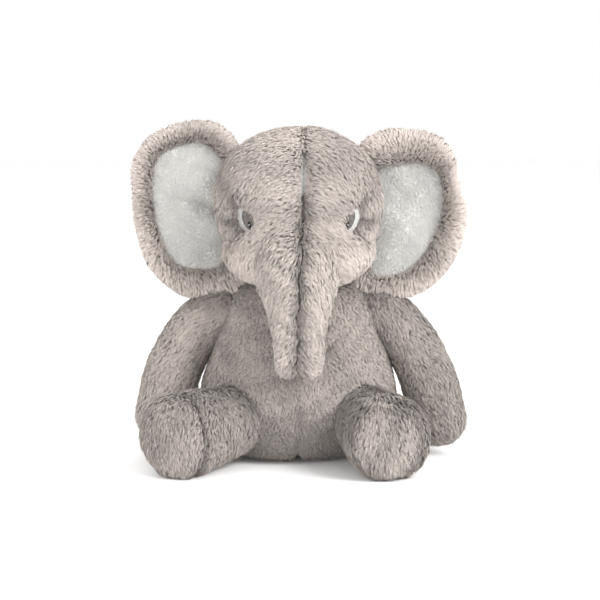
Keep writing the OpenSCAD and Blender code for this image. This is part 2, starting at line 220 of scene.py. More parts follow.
PILE = tones("pile", TAUPE, (0.40, 0.54, 0.72, 0.88, 1.00, 1.12, 1.25))
LINING_PILE = tones("lining_pile", PALE, (0.72, 0.80, 0.88, 0.95, 1.0, 1.06, 1.12))
# the backing is darker than the pile's middle tone: painted shade where the pile parts down to it
BACKING = woven("plush_backing", TAUPE * 0.68, TAUPE * 0.86, 60, 500)
# dark cloth for the seams' groove: painted shade
SEAM_SHADE_CLOTH = woven("plush_backing_seam_shade", TAUPE * 0.22, TAUPE * 0.40, 300, 900)
PARTING = woven("plush_backing_bare", PALE * 0.55, PALE * 0.85, 300, 900)
LINING = woven("ear_lining_cloth", PALE * 0.84, PALE * 1.0, 90, 700)
FELT = woven("eye_felt", (0.47, 0.47, 0.46), (0.62, 0.62, 0.61), 500, 900, 0.95, 0.1)
IRIS = woven("eye_iris", (0.05, 0.045, 0.042), (0.14, 0.126, 0.118), 420, 900, 0.7, 0.0)
LABEL = woven("label_satin", (0.74, 0.74, 0.72), (0.86, 0.86, 0.84), 300, 1200, 0.5, 0.3)


def glossy(name, colour, roughness):
    material, principled = shader(name, colour, roughness)
    principled.inputs["Specular IOR Level"].default_value = 0.25
    add_noise_bump(material, principled, 300, 0.03, 0.1 * MM)
    return material


PUPIL = glossy("eye_pupil", (0.006, 0.006, 0.007), 0.3)
GLINT = glossy("eye_glint", (0.50, 0.50, 0.50), 0.25)

# ---------- meshes ----------


def new_object(name, points, faces, material):
    """A smooth-shaded mesh object in the scene, with one material or a list of them."""
    mesh = bpy.data.meshes.new(name)
    mesh.from_pydata([tuple(p) for p in points], [], [tuple(f) for f in faces])
    mesh.update()
    piece = bpy.data.objects.new(name, mesh)
    bpy.context.scene.collection.objects.link(piece)
    for m in material if isinstance(material, list) else [material]:
        mesh.materials.append(m)
    smooth_shaded(piece)
    return piece


def smooth_shaded(piece):
    piece.data.polygons.foreach_set("use_smooth", [True] * len(piece.data.polygons))


def ring(centre, u, v, ru, rv, count=40):
    """Points round an oval with half sizes ru along u and rv along v."""
    angles = (np.arange(count) + 0.5) * 2 * math.pi / count
    return np.asarray(centre) + np.outer(np.cos(angles) * ru, u) + np.outer(np.sin(angles) * rv, v)


def loft(name, rings, material):
    """A closed skin through rings of equally many points."""
    count = len(rings[0])
    points = np.concatenate(rings)
    faces = [(k * count + i, k * count + (i + 1) % count,
              (k + 1) * count + (i + 1) % count, (k + 1) * count + i)
             for k in range(len(rings) - 1) for i in range(count)]
    faces.append(tuple(range(count - 1, -1, -1)))
    faces.append(tuple((len(rings) - 1) * count + i for i in range(count)))
    return facing_out(new_object(name, points, faces, material))


def facing_out(piece):
    """Turns the faces of a closed mesh outwards, which shows in the sign of its volume."""
    mesh = piece.data
    mesh.calc_loop_triangles()
    triangles = np.empty(len(mesh.loop_triangles) * 3, int)
    mesh.loop_triangles.foreach_get("vertices", triangles)
    a, b, c = (coordinates(piece)[triangles.reshape(-1, 3)[:, k]] for k in range(3))
    if (a * np.cross(b, c)).sum() < 0:
        mesh.flip_normals()
    return piece


def curve(a, b, c, s):
    """A spot at share s of the bend that leaves a towards b and ends at c."""
    return along(along(a, b, s), along(b, c, s), s)


CAP_ANGLES = np.radians((14, 30, 48, 66, 84))      # where the rings of a rounded end lie


def limb(name, a, b, c, radii, side, material, bulge=None, depth=1.0):
    """A stuffed tube from a to c, pulled towards b, with rounded ends and radii spread along it.

    depth is its thickness as a share of its width, and bulge the height of its far end.
    """
    steps = 14
    way = [curve(a, b, c, s) for s in np.linspace(0, 1, steps)]
    first, last = unit(way[1] - way[0]), unit(way[-1] - way[-2])
    r_first, r_last = radii[0], radii[-1]
    end = bulge or r_last
    rings = []
    for p in reversed(CAP_ANGLES):
        rings.append(ring(a - first * r_first * math.sin(p), side, np.cross(first, side),
                          r_first * math.cos(p), r_first * math.cos(p) * depth))
    for i, point in enumerate(way):
        direction = unit(way[min(i + 1, steps - 1)] - way[max(i - 1, 0)])
        r = np.interp(i / (steps - 1), np.linspace(0, 1, len(radii)), radii)
        rings.append(ring(point, side, np.cross(direction, side), r, r * depth))
    for p in CAP_ANGLES:
        rings.append(ring(c + last * end * math.sin(p), side, np.cross(last, side),
                          r_last * math.cos(p), r_last * math.cos(p) * depth))
    return loft(name, rings, material)


def only_active(piece):
    """Selects one piece and nothing else."""
    bpy.ops.object.select_all(action="DESELECT")
    piece.select_set(True)
    bpy.context.view_layer.objects.active = piece


def apply_all(piece):
    only_active(piece)
    for modifier in list(piece.modifiers):
        bpy.ops.object.modifier_apply(modifier=modifier.name)


def remeshed(piece, size, smooth_rounds=4):
    """Even faces of the given size, smoothed a few times."""
    piece.modifiers.new("even", "REMESH").voxel_size = size
    smooth = piece.modifiers.new("smooth", "SMOOTH")
    smooth.factor = 0.5
    smooth.iterations = smooth_rounds
    apply_all(piece)
    smooth_shaded(piece)
    return piece


def coordinates(piece):
    flat = np.empty(len(piece.data.vertices) * 3)
    piece.data.vertices.foreach_get("co", flat)
    return flat.reshape(-1, 3)


def set_coordinates(piece, points):
    piece.data.vertices.foreach_set("co", np.asarray(points, float).ravel())
    piece.data.update()


PRESSURE = 4.0
BLOWING_STEPS = 20


def stuffed(piece, cap, size=5 * MM, smooth_rounds=4):
    """Blows the cover up from inside as cloth, by at most the cap, so it swells like a filled toy."""
    remeshed(piece, size, smooth_rounds)
    before = coordinates(piece)
    cloth = piece.modifiers.new("cloth", "CLOTH")
    cloth.settings.use_pressure = True
    cloth.settings.uniform_pressure_force = PRESSURE
    cloth.settings.effector_weights.gravity = 0
    cloth.settings.tension_stiffness = 12
    cloth.settings.quality = 4
    scene = bpy.context.scene
    for step in range(1, BLOWING_STEPS + 1):
        scene.frame_set(step)
    bpy.context.view_layer.update()
    blown = piece.evaluated_get(bpy.context.evaluated_depsgraph_get())
    after = np.empty(len(before) * 3)
    blown.data.vertices.foreach_get("co", after)
    after = after.reshape(-1, 3)
    piece.modifiers.remove(cloth)
    scene.frame_set(1)
    moved = after - before
    length = np.linalg.norm(moved, axis=1, keepdims=True)
    set_coordinates(piece, before + moved * np.minimum(1, cap / np.maximum(length, 1e-9)))
    return piece


CLEAR_OF_FLOOR = 1.0 * MM


def finished(piece, lumps=0.7 * MM):
    """One subdivision, the small lumps that hand stuffing leaves, and no vertex below the floor."""
    piece.modifiers.new("round", "SUBSURF").levels = 1
    apply_all(piece)
    pushed(piece, lambda p, n: swirl(p, 11 * MM, 5)[:, 0] * lumps)
    points = coordinates(piece)
    points[:, 2] = np.maximum(points[:, 2], CLEAR_OF_FLOOR)
    set_coordinates(piece, points)
    smooth_shaded(piece)
    return piece


def pushed(piece, amount):
    """Moves each vertex along its own normal by amount(points, normals)."""
    points, _, normals = surface(piece)
    set_coordinates(piece, points + normals * amount(points, normals)[:, None])
    return piece


def join(pieces, name):
    only_active(pieces[0])
    for p in pieces:
        p.select_set(True)
    bpy.ops.object.join()
    pieces[0].name = name
    return pieces[0]


# ---------- fur ----------


def surface(piece):
    """(points, triangles, vertex normals) of a mesh."""
    mesh = piece.data
    mesh.calc_loop_triangles()
    triangles = np.empty(len(mesh.loop_triangles) * 3, int)
    mesh.loop_triangles.foreach_get("vertices", triangles)
    normals = np.empty(len(mesh.vertices) * 3)
    mesh.vertex_normals.foreach_get("vector", normals)
    return coordinates(piece), triangles.reshape(-1, 3), normals.reshape(-1, 3)


def scattered(piece, per_mm2, rng):
    """Random points on a mesh, evenly by area, with their normals."""
    points, triangles, normals = surface(piece)
    a, b, c = (points[triangles[:, k]] for k in range(3))
    area = np.linalg.norm(np.cross(b - a, c - a), axis=1) / 2
    count = int(area.sum() / MM**2 * per_mm2)
    chosen = rng.choice(len(area), count, p=area / area.sum())
    u, v = rng.random(count), rng.random(count)
    flip = u + v > 1
    u[flip], v[flip] = 1 - u[flip], 1 - v[flip]
    weights = np.stack([1 - u - v, u, v], 1)[:, :, None]
    at = (points[triangles[chosen]] * weights).sum(1)
    facing = unit((normals[triangles[chosen]] * weights).sum(1))
    return at, facing


def on_surface(way, facing):
    """The direction along the surface that is nearest to a given one."""
    return unit(way - (way * facing).sum(1, keepdims=True) * facing)


PILE_LENGTH = 6.2           # in millimetres, over most of the toy
MIDDLE_TONE = 4.0           # the usual place of a tuft's tip in its list of tones
PATCH_SIZE = 6 * MM         # size of the paler and darker patches in the pile
WANDER_SIZE = 14 * MM       # how far the pile runs before it turns another way


def fur(name, skin, comb, length, per_mm2=0.55, strands=6, width=0.56, spread=1.1, lie=2.4, wander=0.3,
        materials=PILE, keep=None, lightness=None, seed=0, clump=0.5, panels=None):
    """Tufts of tapered strands over a skin, as one piece for each panel of the cover.

    comb(points, normals) is the way the pile is brushed. length, width and spread are in millimetres.
    lie is how flat the pile lies and lightness(points, normals) shifts its tone along the materials, as
    painted light and shade.
    panels is a dictionary of names and tests(points), tried in order.
    """
    rng = np.random.default_rng(SEED * 1000 + seed)
    at, facing = scattered(skin, per_mm2, rng)
    if keep is not None:
        chosen = keep(at, facing)
        at, facing = at[chosen], facing[chosen]
    count = len(at)

    # each tuft: which way it lies and how far it reaches
    flow = on_surface(comb(at, facing), facing) + swirl(at, WANDER_SIZE, seed + 3) * wander
    flow += rng.normal(size=(count, 3)) * 0.15
    flow = on_surface(flow, facing)
    reach = (length(at, facing) if callable(length) else np.full(count, length)) * MM
    reach = reach * rng.uniform(0.75, 1.2, count)
    tuft_way = unit(facing + flow * lie * rng.uniform(0.65, 1.25, (count, 1)))
    tuft_tip = at + tuft_way * reach[:, None]

    # its strands: spread round its root, drawn together at the tip and arched between
    sideways = np.cross(facing, flow)
    spin = rng.uniform(0, 2 * math.pi, (count, strands))
    away = spread * MM * np.sqrt(rng.random((count, strands)))
    root = (at[:, None] + flow[:, None] * (np.cos(spin) * away)[..., None]
            + sideways[:, None] * (np.sin(spin) * away)[..., None])
    own_reach = reach[:, None] * rng.uniform(0.7, 1.15, (count, strands))
    own_tip = root + tuft_way[:, None] * own_reach[..., None]
    tip = own_tip + (tuft_tip[:, None] - own_tip) * clump * rng.uniform(0.3, 1.0, (count, strands, 1))
    tip += rng.normal(size=tip.shape) * 0.3 * MM
    arch = facing * (0.20 * reach[:, None]) - flow * (0.08 * reach[:, None])
    bend = (root + tip) / 2 + arch[:, None]
    across = unit(np.cross(tip - root, facing[:, None] + rng.normal(size=tip.shape) * 0.3))
    half = across * (width * MM / 2 * rng.uniform(0.6, 1.2, (count, strands, 1)))
    corners = np.stack([root - half, root + half, bend + half * 0.85, bend - half * 0.85, tip], axis=2)
    corners[..., 2] = np.maximum(corners[..., 2], 0.4 * MM)

    # their tones: in patches, with the painted light and shade of lightness, and then shared out over the
    # panels
    patches = swirl(at, PATCH_SIZE, seed + 5)[:, :1] * 0.9
    level = patches + rng.normal(MIDDLE_TONE, 0.35, (count, 1)) + rng.normal(0, 0.4, (count, strands))
    if lightness is not None:
        level = level + lightness(at, facing)[:, None]
    top = np.clip(np.round(level), 1, len(materials) - 1).astype(int)
    pieces = []
    left_over = np.ones(count, bool)
    for panel, test in (panels or {name: None}).items():
        mine = left_over if test is None else left_over & test(at)
        left_over = left_over & ~mine
        pieces.append(strand_mesh(panel, corners[mine].reshape(-1, 3), top[mine].ravel(), materials))
    return pieces


def strand_mesh(name, corners, top, materials):
    """One mesh of strands, each a quad at the root, one tone darker as painted shade deep in the pile, and
    a triangle at the tip.
    """
    total = len(top)
    base = np.arange(total)[:, None] * 5
    quads = base + np.array([0, 1, 2, 3])
    tips = base + np.array([3, 2, 4])
    mesh = bpy.data.meshes.new(name)
    mesh.vertices.add(len(corners))
    mesh.vertices.foreach_set("co", corners.ravel())
    mesh.loops.add(total * 7)
    mesh.loops.foreach_set("vertex_index", np.concatenate([quads.ravel(), tips.ravel()]))
    mesh.polygons.add(total * 2)
    starts = np.concatenate([np.arange(total) * 4, total * 4 + np.arange(total) * 3])
    mesh.polygons.foreach_set("loop_start", starts)
    # the root quads a tone darker than the tips: painted shade deep in the pile
    mesh.polygons.foreach_set("material_index", np.concatenate([top - 1, top]))
    mesh.polygons.foreach_set("use_smooth", np.ones(total * 2, bool))
    mesh.update(calc_edges=True)
    piece = bpy.data.objects.new(name, mesh)
    bpy.context.scene.collection.objects.link(piece)
    for m in materials:
        mesh.materials.append(m)
    return piece


# ---------- shapes ----------


# The body's rings as (level, width), in shares of its height and its half size.
TORSO_PROFILE = ((0.012, 0.62), (0.04, 0.79), (0.10, 0.93), (0.20, 1.01), (0.33, 1.04), (0.45, 1.03),
                 (0.60, 0.945), (0.73, 0.865), (0.86, 0.785), (0.95, 0.72), (1.02, 0.62), (1.07, 0.38))


def torso_skin():
    """A pear of oval rings, drawn in along the seam of the belly."""
    half_wide, half_deep, height = torso_high
    rings = [ring([0, 0, level * height], ACROSS, BACK, share * half_wide, share * half_deep)
             for level, share in TORSO_PROFILE]
    piece = finished(stuffed(loft("torso_skin", rings, BACKING), cap=2 * MM), lumps=1.1 * MM)
    return pushed(piece, lambda p, n: -2.8 * MM * belly_seam(p))


def belly_seam(points):
    """1 along the seam down the front of the belly, strongest where it runs under."""
    front = points[:, 1] < 0
    return bump(points[:, 0], 3 * MM) * front * (0.25 + 0.75 * smoothstep(60 * MM, 30 * MM, points[:, 2]))


HEAD_SWELL = 1.05          # the stuffed cover is a little wider than its backing's cut shape


def head_skin():
    """The skull and the cheeks as one cover, drawn in at the eyes and along the seam."""
    skull = loft("head_skin", [
        ring(head_mid + UP * (head_half[2] + 1 * MM) * math.sin(p), ACROSS, BACK,
             head_half[0] * HEAD_SWELL * math.cos(p) ** 0.86, head_half[1] * math.cos(p) ** 0.90)
        for p in np.radians(np.linspace(-84, 84, 19))], BACKING)
    cheeks_at = trunk_root + mm(0, 24, 0)
    cheeks = loft("cheeks", [
        ring(cheeks_at + UP * 31 * MM * math.sin(p), ACROSS, BACK, 60 * MM * math.cos(p) ** 0.9,
             43 * MM * math.cos(p) ** 0.9)
        for p in np.radians(np.linspace(-84, 84, 15))], BACKING)
    piece = join([skull, cheeks], "head_skin")
    piece = finished(stuffed(piece, size=4.5 * MM, cap=2 * MM, smooth_rounds=8))
    pushed(piece, lambda p, n: -4.5 * MM * eye_socket(p) - 4.2 * MM * face_seam(p))
    pushed(piece, lambda p, n: 2.5 * MM * brows(p) - 4.2 * MM * creases(p))
    return with_seam(piece)


GROOVE_HALF = 2.6 * MM      # half the width of the dark cloth along the seam, painted shade in its groove
BARE_HALF = 3.2 * MM        # half the width of the bare strip on the brow, at its widest


def with_seam(piece):
    """Colours the cloth along the seam: painted shade in the groove, pale on the bare strip of the brow."""
    piece.data.materials.append(PARTING)
    piece.data.materials.append(SEAM_SHADE_CLOTH)
    for polygon in piece.data.polygons:
        middle = np.array([polygon.center])
        off_line = abs(middle[0, 0] - seam_x(middle)[0])
        if off_line < GROOVE_HALF and face_seam(middle)[0] > 0.4:
            polygon.material_index = 1 if off_line < BARE_HALF * bare_brow(middle)[0] else 2
    return piece


EYE_X, EYE_Z = 43 * MM, 198 * MM      # how far the eyes stand from the middle and above the floor


def eye_socket(points):
    """1 at the eyes, where the cover is drawn in."""
    out = np.zeros(len(points))
    for _, s in SIDES:
        flat = np.hypot(points[:, 0] - s * EYE_X, points[:, 2] - EYE_Z)
        out += bump(flat, 13 * MM) * (points[:, 1] < head_mid[1])
    return out


def seam_x(points):
    """The face's seam leans a little: it starts on the left of the brow and ends at the trunk's tip."""
    z = points[:, 2]
    ragged = 0.9 * np.sin(z / (5.3 * MM)) + 0.6 * np.sin(z / (2.1 * MM))
    return 5 * MM * smoothstep(90 * MM, 240 * MM, z) + (ragged * (z < 215 * MM) - 1) * MM


def face_seam(points):
    """1 along the seam from the brow down the trunk."""
    below_crown = smoothstep(head_high[2] - 6 * MM, head_high[2] - 22 * MM, points[:, 2])
    width = 3.2 * MM + 1.6 * MM * smoothstep(215 * MM, 180 * MM, points[:, 2])
    return bump(points[:, 0] - seam_x(points), width) * (points[:, 1] < head_mid[1]) * below_crown


def off_seam(points, normals):
    """True where the pile grows: not on the seam itself, and not on the bare strip across the brow."""
    bare = np.maximum(bare_brow(points) * 2.0, 1.5 * (1 - bare_brow(points))) * MM
    return (np.abs(points[:, 0] - seam_x(points)) > bare) | (face_seam(points) < 0.5)


def bare_brow(points):
    """1 in the middle of the short stretch of the seam where the pile parts down to the cloth."""
    middle = head_high[2] - 33 * MM
    return np.sqrt(np.clip(1 - ((points[:, 2] - middle) / (15 * MM)) ** 2, 0, 1))


def trunk_upper_skin():
    start, end = trunk_root + mm(0, 4, 6), along(trunk_mid, trunk_tip, 0.12)
    bend = along(trunk_root, trunk_mid, 0.5) + mm(0, -8, 0)
    piece = limb("trunk_upper_skin", start, bend, end, mm(31, 33.5, 29.5, 24, 20.5), ACROSS, BACKING,
                 depth=0.86)
    piece = finished(stuffed(piece, size=4.5 * MM, cap=1.5 * MM))
    pushed(piece, lambda p, n: -5.5 * MM * face_seam(p))
    return with_seam(piece)


def trunk_lower_skin():
    start, end = trunk_mid + mm(0, 1, 8), trunk_tip + mm(0, 0, 6)
    bend = along(trunk_mid, trunk_tip, 0.5) + mm(0, -3, 0)
    piece = limb("trunk_lower_skin", start, bend, end, mm(21, 19.5, 18, 17.2), ACROSS, BACKING,
                 bulge=7.5 * MM, depth=0.82)
    piece = finished(stuffed(piece, size=4 * MM, cap=1 * MM))
    pushed(piece, lambda p, n: -5.0 * MM * face_seam(p) - 3.5 * MM * tip_dimples(p))
    return with_seam(piece)


def tip_dimples(points):
    """1 at the two stitched dimples by the trunk's tip."""
    dimples = [trunk_tip + mm(x, -16, 9) for x in (-6, 5)]
    return sum(bump(np.linalg.norm(points - d, axis=1), 6 * MM) for d in dimples)


def arm_ends(side, s):
    """Shoulder, the spot that the arm bends towards, and hand."""
    shoulder = joint_at(f"arm_swing_{side}")
    low, high = boxes(f"arm_stuffing_{side}")
    outer = max(abs(low[0]), abs(high[0]))
    end = np.array([s * (outer - 15 * MM), shoulder[1] - 8 * MM, low[2] + 21 * MM])
    bend = shoulder + np.array([s * 40 * MM, 0, -16 * MM])
    if side == "left":
        end += mm(4, 0, -4)
    return shoulder + np.array([s * 2 * MM, 0, 0]), bend, end


def arm_skin(side, s):
    shoulder, bend, end = arm_ends(side, s)
    across = unit(np.cross(end - shoulder, bend - shoulder))
    piece = limb(f"arm_{side}_skin", shoulder, bend, end, mm(19, 20.5, 20.5, 21, 20.5), across, BACKING)
    return finished(stuffed(piece, size=4.5 * MM, cap=1.5 * MM))


def leg_way(side):
    """Hip, sole centre and the leg's outward direction."""
    hip = joint_at(f"leg_lift_{side}")
    low, high = boxes(f"sole_panel_{side}")
    forward = unit(np.cross(joint_named(f"leg_lift_{side}")["axis"], -UP))
    foot = hip + forward * 68 * MM + (ACROSS * 3 * MM if side == "left" else -ACROSS * 6 * MM)
    foot[2] = (low[2] + high[2]) / 2 + 1.5 * MM
    return hip, foot, forward


def leg_skin(side):
    hip, foot, forward = leg_way(side)
    piece = limb(f"leg_{side}_skin", hip + forward * 2 * MM, along(hip, foot, 0.5), foot - forward * 1 * MM,
                 mm(25, 26, 27.5, 30, 30.5), unit(np.cross(forward, UP)), BACKING,
                 bulge=13 * MM, depth=1.07)
    piece = finished(stuffed(piece, size=4.5 * MM, cap=1.5 * MM))
    return pushed(piece, lambda p, n: -3.4 * MM * bump(sole_seam(side, p), 3.2 * MM))


def sole_seam(side, points):
    """Distance from the seam round the sole: on the right foot it runs back along the inner side."""
    _, foot, forward = leg_way(side)
    outward = np.cross(UP, forward) * (-1 if side == "left" else 1)
    rel = points - foot
    if side == "right":
        plane = rel @ forward + 13 * MM - 0.30 * (rel @ outward)
        return np.hypot(plane, np.minimum(np.hypot(rel @ outward, rel[:, 2]) - 20 * MM, 0))
    half_w = 25 * MM
    share = np.hypot((rel @ outward - 3 * MM) / half_w, rel[:, 2] / (30 * MM))
    behind = np.maximum(-6 * MM - rel @ forward, 0)
    under_pile = np.maximum(rel @ outward, 0) * 0.4
    return np.abs(share - 1) * half_w + behind * 3 + under_pile


def tail_skin():
    piece = limb("tail_skin", tail_root - mm(0, 4, 0), tail_root + mm(0, 18, 2), tuft_mid,
                 mm(4.5, 4, 4, 4.5), ACROSS, BACKING)
    return finished(remeshed(piece, 2 * MM, 1))


def neck_skin():
    pivot = joint_at("neck_turn")
    rings = [ring([0, pivot[1], z * MM], ACROSS, BACK, r * MM, r * MM, 32)
             for z, r in ((128, 20), (130, 26), (138, 29), (148, 29), (158, 25), (166, 12))]
    return finished(remeshed(loft("neck_skin", rings, BACKING), 3 * MM))


# The ears, in millimetres. The centre is (out from the middle, up from the floor), and the outlines are
# (out, up) from there, starting at the top.
EAR_OUT, EAR_UP = 92, 202
EAR_OUTLINES = {
    "left": ((-24, 63), (0, 63), (22, 57), (33, 43), (34, 27), (42, 1), (38, -29), (20, -57), (-4, -70),
             (-26, -67), (-50, -60), (-48, 0), (-42, 48)),
    "right": ((-18, 70), (22, 62), (39, 40), (41, 16), (37, -22), (26, -49), (3, -69), (-24, -69),
              (-50, -62), (-48, 0), (-42, 50)),
}
LINING_OUTLINES = {
    "left": ((-10, 38), (13, 38), (26, 23), (25, -7), (16, -28), (4, -45), (-14, -54), (-34, -50),
             (-41, 0), (-34, 32)),
    "right": ((-6, 57), (23, 44), (28, 12), (22, -22), (12, -42), (-2, -48), (-30, -44), (-40, 0),
              (-34, 36), (-20, 52)),
}
SPOKES = 112                # points round an outline
RIM_HEIGHT = 8.5 * MM       # how far the rim, the lining and the back stand from the ear's middle plane
LINING_HEIGHT = 3.0 * MM
BACK_HEIGHT = 6.0 * MM


def ear_centre(side, s):
    plate_low, plate_high = boxes(f"ear_back_{side}")
    return np.array([s * EAR_OUT * MM, (plate_low[1] + plate_high[1]) / 2, EAR_UP * MM])


def ear_edges(side):
    """The lining's and the ear's outlines, point by point at the same angles."""
    edges = []
    for corners in (LINING_OUTLINES[side], EAR_OUTLINES[side]):
        edge = closed_curve(corners, 720) * MM
        order = np.argsort(np.arctan2(edge[:, 1], edge[:, 0]))
        edge = edge[order]
        angle = np.arctan2(edge[:, 1], edge[:, 0])
        want = np.linspace(-math.pi, math.pi, SPOKES, endpoint=False) + math.pi / SPOKES
        radius = np.interp(want, angle, np.linalg.norm(edge, axis=1), period=2 * math.pi)
        edges.append(np.stack([np.cos(want) * radius, np.sin(want) * radius], 1))
    return edges


def ear_bend(side, flat):
    """How far the ear's middle plane stands back at a spot, as it is cupped forward at the edge."""
    out, up = flat[:, 0], flat[:, 1]
    wave = 2.0 * MM * np.sin(up / (24 * MM) + (0.6 if side == "left" else 2.2))
    return wave - 5 * MM * smoothstep(0, 45 * MM, out)


def ear_rings(side, s, shares):
    """Rings of (spot between lining edge and rim, height in front of the middle plane)."""
    centre = ear_centre(side, s)
    inner, outer = ear_edges(side)
    rings = []
    for from_centre, to_rim, height in shares:
        flat = inner * from_centre + (outer - inner) * to_rim
        y = ear_bend(side, flat) - height
        rings.append(np.stack([centre[0] + s * flat[:, 0], centre[1] + y, centre[2] + flat[:, 1]], 1))
    return rings


def ear_skin(side, s):
    """A pad with a thick rolled rim, hollowed in front where the lining lies."""
    shares = [(share, 0, LINING_HEIGHT - 3.5 * MM) for share in (0.05, 0.35, 0.65, 0.9)]
    for p in np.radians(np.linspace(-8, 188, 15)):
        to_rim = 0.5 - 0.5 * math.cos(p)
        shares.append((1, max(to_rim, 0) * 0.97, RIM_HEIGHT * max(math.sin(p), -0.3)))
    for share in (0.9, 0.6, 0.3, 0.0):
        shares.append((1, share, -BACK_HEIGHT))
    for share in (0.9, 0.6, 0.3, 0.05):
        shares.append((share, 0, -BACK_HEIGHT - 1.5 * MM * (1 - share)))
    piece = loft(f"ear_{side}_skin", ear_rings(side, s, shares), BACKING)
    return finished(remeshed(piece, 2.6 * MM, 3))


def lining_relief(side, centre, points):
    """Soft folds in the lining: one runs slantwise across it, the others are faint."""
    s = 1 if side == "left" else -1
    out, up = s * (points[:, 0] - centre[0]), points[:, 2] - centre[2]
    slant = out * 0.75 + up * 0.66 if side == "left" else up - 14 * MM - out * 0.45
    fold = 2.4 * MM * bump(slant, 7 * MM) - 1.6 * MM * bump(slant + 14 * MM, 9 * MM)
    fold *= smoothstep(-45 * MM, 5 * MM, up)
    ripple = 0.5 * MM * np.sin(up / (9 * MM) + out / (14 * MM))
    return fold + ripple


def ear_lining(side, s):
    """The pale lining: a thin closed sheet, crowned a little and folded by lining_relief."""
    centre = ear_centre(side, s)
    shares = [(share, 0, LINING_HEIGHT + 1.5 * MM * (1 - share**4)) for share in np.linspace(0.03, 1.0, 26)]
    shares.append((1.03, 0, LINING_HEIGHT - 1.5 * MM))
    shares += [(share, 0, LINING_HEIGHT - 1.2 * MM) for share in np.linspace(1.0, 0.03, 26)]
    piece = loft(f"ear_{side}_lining", ear_rings(side, s, shares), LINING)
    points = coordinates(piece)
    points[:, 1] += lining_relief(side, centre, points)
    set_coordinates(piece, points)
    smooth_shaded(piece)
    return piece


def ear_spot(side, s, points):
    """(share of the way from the centre to the lining's edge, share from there to the rim's edge)."""
    centre = ear_centre(side, s)
    flat = np.stack([s * (points[:, 0] - centre[0]), points[:, 2] - centre[2]], 1)
    angle = np.arctan2(flat[:, 1], flat[:, 0])
    inner, outer = ear_edges(side)
    r_inner, r_outer = (np.interp(angle, np.arctan2(e[:, 1], e[:, 0]), np.linalg.norm(e, axis=1),
                                  period=2 * math.pi) for e in (inner, outer))
    radius = np.linalg.norm(flat, axis=1)
    return radius / r_inner, (radius - r_inner) / np.maximum(r_outer - r_inner, 1 * MM)


# ---------- how the pile is brushed ----------


def comb_head(p, n):
    """Away from the seam on the brow, then down the cheeks and the back."""
    side = np.tanh((p[:, 0] - seam_x(p)) / (3 * MM))
    near = bump(p[:, 0], 32 * MM)
    front = (p[:, 1] < head_mid[1])[:, None]
    brow = np.stack([side * (0.35 + 0.75 * near), np.zeros(len(p)), -0.45 - 0.5 * (1 - near)], 1)
    back = np.stack([side * 0.15, np.zeros(len(p)), np.full(len(p), -1.0)], 1)
    return np.where(front, brow, back)


def comb_trunk(p, n):
    """Away from the seam, then down."""
    side = np.tanh((p[:, 0] - seam_x(p)) / (3 * MM))
    near = bump(p[:, 0], 14 * MM)
    return np.stack([side * (0.25 + 0.6 * near), np.zeros(len(p)), np.full(len(p), -0.9)], 1)


def comb_torso(p, n):
    """Down, and a little outwards."""
    return np.stack([p[:, 0] / (120 * MM), np.zeros(len(p)), np.full(len(p), -1.0)], 1)


def comb_ear(side, s):
    """Outwards over the rim from the ear's centre."""
    centre = ear_centre(side, s)

    def comb(p, n):
        return unit((p - centre) * [1.3, 0, 0.9]) + [0, 0, -0.15]
    return comb


def comb_limb(direction, droop=0.4):
    """One way all over, which hangs by the droop."""
    def comb(p, n):
        return np.tile(direction - UP * droop, (len(p), 1))
    return comb


def comb_leg(side):
    """Along the leg and down, and straight down over the sole."""
    _, _, forward = leg_way(side)

    def comb(p, n):
        on_sole = smoothstep(0.45, 0.8, n @ forward)[:, None]
        return forward * 0.3 * (1 - on_sole) - UP
    return comb


# ---------- the face ----------


def eye_frame(s):
    """Spot on the face and the directions across, up and out of it."""
    away = np.array([s * EYE_X, 0, EYE_Z - head_mid[2]])
    depth = head_half[1] * math.sqrt(1 - (away[0] / head_half[0]) ** 2 - (away[2] / head_half[2]) ** 2)
    spot = head_mid + [away[0], -depth, away[2]]
    out = unit((spot - head_mid) / head_half**2)
    spot = spot - out * 1.6 * MM
    lean = math.radians(17) * s
    up = unit(UP - out * out[2])
    turned_up = up * math.cos(lean) + np.cross(up, out) * math.sin(lean)
    return spot, np.cross(turned_up, out), turned_up, out


def oval(name, s, size, centre, low, high, material, crown=0.35):
    """A softly crowned oval on the face: size across and up, centre in the eye's own frame."""
    spot, across, up, out = eye_frame(s)
    middle = spot + across * centre[0] + up * centre[1]
    rings = [ring(middle + out * low, across, up, size[0] / 2, size[1] / 2, 48)]
    for p in np.radians((12, 35, 60, 82)):
        height = low + (high - low) * (1 - crown + crown * math.sin(p))
        share = math.cos(p) ** crown
        rings.append(ring(middle + out * height, across, up, size[0] / 2 * share, size[1] / 2 * share, 48))
    return loft(name, rings, material)


def eye(side, s):
    """Felt oval, iris, pupil and glint, one on top of the other."""
    inward = -s * MM
    felt = oval(f"eye_{side}_felt", s, mm(16, 21.5), mm(0, 0), -4 * MM, 0.6 * MM, FELT)
    iris = oval(f"eye_{side}_iris", s, mm(11, 16.5), (inward * 2.2, -0.8 * MM), -0.5 * MM, 1.1 * MM, IRIS)
    pupil = oval(f"eye_{side}_pupil", s, mm(3.6, 6.2), (inward * 3.2, -5.0 * MM), 0, 2.1 * MM, PUPIL, 0.7)
    glint = oval(f"eye_{side}_glint", s, mm(2.5, 0.7), (inward * 3.2, -4.8 * MM), 1.6 * MM, 2.35 * MM,
                 GLINT, 0.7)
    for piece in (felt, iris, pupil, glint):
        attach(piece, "head")
    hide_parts(f"eye_felt_{side}")
    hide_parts(f"eye_iris_{side}")
    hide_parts(f"eye_pupil_{side}")
    for piece in fringe(side, s, felt):
        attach(piece, "head")
    for piece in fuzz(side, s, felt):
        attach(piece, "head")


